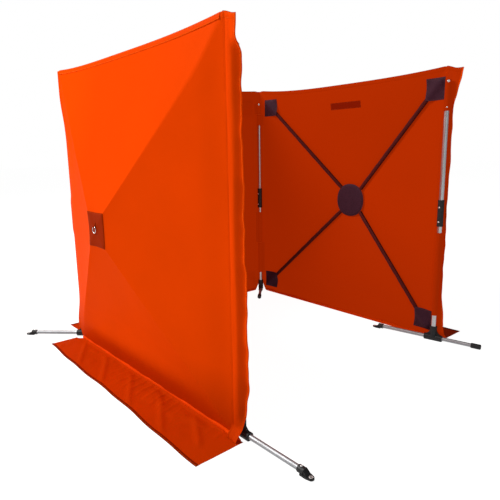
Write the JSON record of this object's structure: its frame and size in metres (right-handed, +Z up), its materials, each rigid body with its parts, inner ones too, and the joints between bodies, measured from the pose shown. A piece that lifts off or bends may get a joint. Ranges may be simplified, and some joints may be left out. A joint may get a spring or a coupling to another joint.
{
  "type": "welding curtain screen",
  "caption": "Pop-up welding screen: sprung translucent fabric panels hinged in a U, held by hubs and rods between poles on swivelling feet, with ground skirts.",
  "frame": {"origin": "on the floor, under the middle of the box round the whole screen", "axes": "+Z up, +Y towards the back panel (the open side of the U faces -Y), +X to the right of someone looking into the open side"},
  "size_m": [2.3774, 2.5337, 1.8],
  "materials": {
    "screen_fabric": "translucent orange PVC film, slightly glossy",
    "patch_fabric": "doubled orange PVC, darker",
    "dark_fabric": "coated nylon, matt",
    "aluminium_tube": "satin drawn tube",
    "rivet_metal": "bright",
    "ring_metal": "bright plated wire",
    "glass_fibre": "pultruded glass fibre rod",
    "black_plastic": "moulded, satin"
  },
  "bodies": {
    "back_frame": {"back_left_pole_lower": "aluminium_tube", "back_left_pole_upper": "aluminium_tube", "back_left_knuckle": "black_plastic", "back_right_pole_lower": "aluminium_tube", "back_right_pole_upper": "aluminium_tube", "back_right_knuckle": "black_plastic", "back_fabric": "screen_fabric", "back_skirt": "screen_fabric", "back_corner_pockets": "dark_fabric", "back_rivets": "rivet_metal"},
    "left_wing": {"front_left_pole_lower": "aluminium_tube", "front_left_pole_upper": "aluminium_tube", "front_left_knuckle": "black_plastic", "left_fabric": "screen_fabric", "left_skirt": "screen_fabric", "left_corner_pockets": "dark_fabric", "left_rivets": "rivet_metal"},
    "right_wing": {"front_right_pole_lower": "aluminium_tube", "front_right_pole_upper": "aluminium_tube", "front_right_knuckle": "black_plastic", "right_fabric": "screen_fabric", "right_skirt": "screen_fabric", "right_corner_pockets": "dark_fabric", "right_rivets": "rivet_metal"},
    "front_left_foot": {"front_left_foot_joint": "black_plastic", "front_left_foot_bar": "aluminium_tube", "front_left_foot_caps": "black_plastic"},
    "back_left_foot": {"back_left_foot_joint": "black_plastic", "back_left_foot_bar": "aluminium_tube", "back_left_foot_caps": "black_plastic"},
    "back_right_foot": {"back_right_foot_joint": "black_plastic", "back_right_foot_bar": "aluminium_tube", "back_right_foot_caps": "black_plastic"},
    "front_right_foot": {"front_right_foot_joint": "black_plastic", "front_right_foot_bar": "aluminium_tube", "front_right_foot_caps": "black_plastic"},
    "left_hub_unit": {"left_hub": "black_plastic", "left_hub_cover": "dark_fabric", "left_hub_patch": "patch_fabric"},
    "left_pull": {"left_pull_ring": "ring_metal"},
    "left_rod_1": {"left_rod_1": "glass_fibre"},
    "left_rod_2": {"left_rod_2": "glass_fibre"},
    "left_rod_3": {"left_rod_3": "glass_fibre"},
    "left_rod_4": {"left_rod_4": "glass_fibre"},
    "back_hub_unit": {"back_hub": "black_plastic", "back_hub_cover": "dark_fabric", "back_hub_patch": "patch_fabric"},
    "back_pull": {"back_pull_ring": "ring_metal"},
    "back_rod_1": {"back_rod_1": "glass_fibre"},
    "back_rod_2": {"back_rod_2": "glass_fibre"},
    "back_rod_3": {"back_rod_3": "glass_fibre"},
    "back_rod_4": {"back_rod_4": "glass_fibre"},
    "right_hub_unit": {"right_hub": "black_plastic", "right_hub_cover": "dark_fabric", "right_hub_patch": "patch_fabric"},
    "right_pull": {"right_pull_ring": "ring_metal"},
    "right_rod_1": {"right_rod_1": "glass_fibre"},
    "right_rod_2": {"right_rod_2": "glass_fibre"},
    "right_rod_3": {"right_rod_3": "glass_fibre"},
    "right_rod_4": {"right_rod_4": "glass_fibre"}
  },
  "joints": [
    {"name": "left_wing_swing", "type": "hinge", "parent": "back_frame", "child": "left_wing", "pos_m": [-0.87, 0.94812, 0.9], "axis": [0, 0, 1], "range_deg": [-90, 45]},
    {"name": "right_wing_swing", "type": "hinge", "parent": "back_frame", "child": "right_wing", "pos_m": [0.87, 0.94812, 0.9], "axis": [0, 0, 1], "range_deg": [-45, 90]},
    {"name": "front_left_foot_swivel", "type": "hinge", "parent": "left_wing", "child": "front_left_foot", "pos_m": [-0.87, -0.82188, 0.05], "axis": [0, 0, 1], "range_deg": [-90, 0]},
    {"name": "back_left_foot_swivel", "type": "hinge", "parent": "back_frame", "child": "back_left_foot", "pos_m": [-0.87, 0.94812, 0.05], "axis": [0, 0, 1], "range_deg": [-45, 15]},
    {"name": "back_right_foot_swivel", "type": "hinge", "parent": "back_frame", "child": "back_right_foot", "pos_m": [0.87, 0.94812, 0.05], "axis": [0, 0, 1], "range_deg": [-15, 45]},
    {"name": "front_right_foot_swivel", "type": "hinge", "parent": "right_wing", "child": "front_right_foot", "pos_m": [0.87, -0.82188, 0.05], "axis": [0, 0, 1], "range_deg": [-10, 80]},
    {"name": "left_hub_pop", "type": "slide", "parent": "left_wing", "child": "left_hub_unit", "axis": [1, 0, 0], "range_m": [0, 0.17]},
    {"name": "left_ring_swing", "type": "hinge", "parent": "left_hub_unit", "child": "left_pull", "pos_m": [-1.119, 0.07812, 0.917], "axis": [0, 1, 0], "range_deg": [0, 150]},
    {"name": "left_rod_1_lean", "type": "hinge", "parent": "left_wing", "child": "left_rod_1", "pos_m": [-0.901, -0.74888, 0.08], "axis": [0, 0.7041, -0.7101], "range_deg": [0, 8.78]},
    {"name": "left_rod_2_lean", "type": "hinge", "parent": "left_wing", "child": "left_rod_2", "pos_m": [-0.901, 0.87512, 0.08], "axis": [0, 0.7171, 0.697], "range_deg": [0, 8.95]},
    {"name": "left_rod_3_lean", "type": "hinge", "parent": "left_wing", "child": "left_rod_3", "pos_m": [-0.901, 0.87512, 1.72], "axis": [0, -0.7171, 0.697], "range_deg": [0, 8.95]},
    {"name": "left_rod_4_lean", "type": "hinge", "parent": "left_wing", "child": "left_rod_4", "pos_m": [-0.901, -0.74888, 1.72], "axis": [0, -0.7041, -0.7101], "range_deg": [0, 8.78]},
    {"name": "back_hub_pop", "type": "slide", "parent": "back_frame", "child": "back_hub_unit", "axis": [0, -1, 0], "range_m": [0, 0.17]},
    {"name": "back_ring_swing", "type": "hinge", "parent": "back_hub_unit", "child": "back_pull", "pos_m": [0, 1.19712, 0.917], "axis": [1, 0, 0], "range_deg": [0, 150]},
    {"name": "back_rod_1_lean", "type": "hinge", "parent": "back_frame", "child": "back_rod_1", "pos_m": [-0.797, 0.97912, 0.08], "axis": [0.7171, 0, -0.697], "range_deg": [0, 8.95]},
    {"name": "back_rod_2_lean", "type": "hinge", "parent": "back_frame", "child": "back_rod_2", "pos_m": [0.797, 0.97912, 0.08], "axis": [0.7171, 0, 0.697], "range_deg": [0, 8.95]},
    {"name": "back_rod_3_lean", "type": "hinge", "parent": "back_frame", "child": "back_rod_3", "pos_m": [0.797, 0.97912, 1.72], "axis": [-0.7171, 0, 0.697], "range_deg": [0, 8.95]},
    {"name": "back_rod_4_lean", "type": "hinge", "parent": "back_frame", "child": "back_rod_4", "pos_m": [-0.797, 0.97912, 1.72], "axis": [-0.7171, 0, -0.697], "range_deg": [0, 8.95]},
    {"name": "right_hub_pop", "type": "slide", "parent": "right_wing", "child": "right_hub_unit", "axis": [-1, 0, 0], "range_m": [0, 0.17]},
    {"name": "right_ring_swing", "type": "hinge", "parent": "right_hub_unit", "child": "right_pull", "pos_m": [1.119, 0.07812, 0.917], "axis": [0, -1, 0], "range_deg": [0, 150]},
    {"name": "right_rod_1_lean", "type": "hinge", "parent": "right_wing", "child": "right_rod_1", "pos_m": [0.901, 0.87512, 0.08], "axis": [0, -0.7171, -0.697], "range_deg": [0, 8.95]},
    {"name": "right_rod_2_lean", "type": "hinge", "parent": "right_wing", "child": "right_rod_2", "pos_m": [0.901, -0.74888, 0.08], "axis": [0, -0.7041, 0.7101], "range_deg": [0, 8.78]},
    {"name": "right_rod_3_lean", "type": "hinge", "parent": "right_wing", "child": "right_rod_3", "pos_m": [0.901, -0.74888, 1.72], "axis": [0, 0.7041, 0.7101], "range_deg": [0, 8.78]},
    {"name": "right_rod_4_lean", "type": "hinge", "parent": "right_wing", "child": "right_rod_4", "pos_m": [0.901, 0.87512, 1.72], "axis": [0, 0.7171, -0.697], "range_deg": [0, 8.95]}
  ],
  "couplings": [
    {"joint": "left_rod_1_lean", "follows": "left_hub_pop", "rad_per_m": 0.8966},
    {"joint": "left_rod_2_lean", "follows": "left_hub_pop", "rad_per_m": 0.91372},
    {"joint": "left_rod_3_lean", "follows": "left_hub_pop", "rad_per_m": 0.91372},
    {"joint": "left_rod_4_lean", "follows": "left_hub_pop", "rad_per_m": 0.8966},
    {"joint": "back_rod_1_lean", "follows": "back_hub_pop", "rad_per_m": 0.91372},
    {"joint": "back_rod_2_lean", "follows": "back_hub_pop", "rad_per_m": 0.91372},
    {"joint": "back_rod_3_lean", "follows": "back_hub_pop", "rad_per_m": 0.91372},
    {"joint": "back_rod_4_lean", "follows": "back_hub_pop", "rad_per_m": 0.91372},
    {"joint": "right_rod_1_lean", "follows": "right_hub_pop", "rad_per_m": 0.91372},
    {"joint": "right_rod_2_lean", "follows": "right_hub_pop", "rad_per_m": 0.8966},
    {"joint": "right_rod_3_lean", "follows": "right_hub_pop", "rad_per_m": 0.8966},
    {"joint": "right_rod_4_lean", "follows": "right_hub_pop", "rad_per_m": 0.91372}
  ]
}
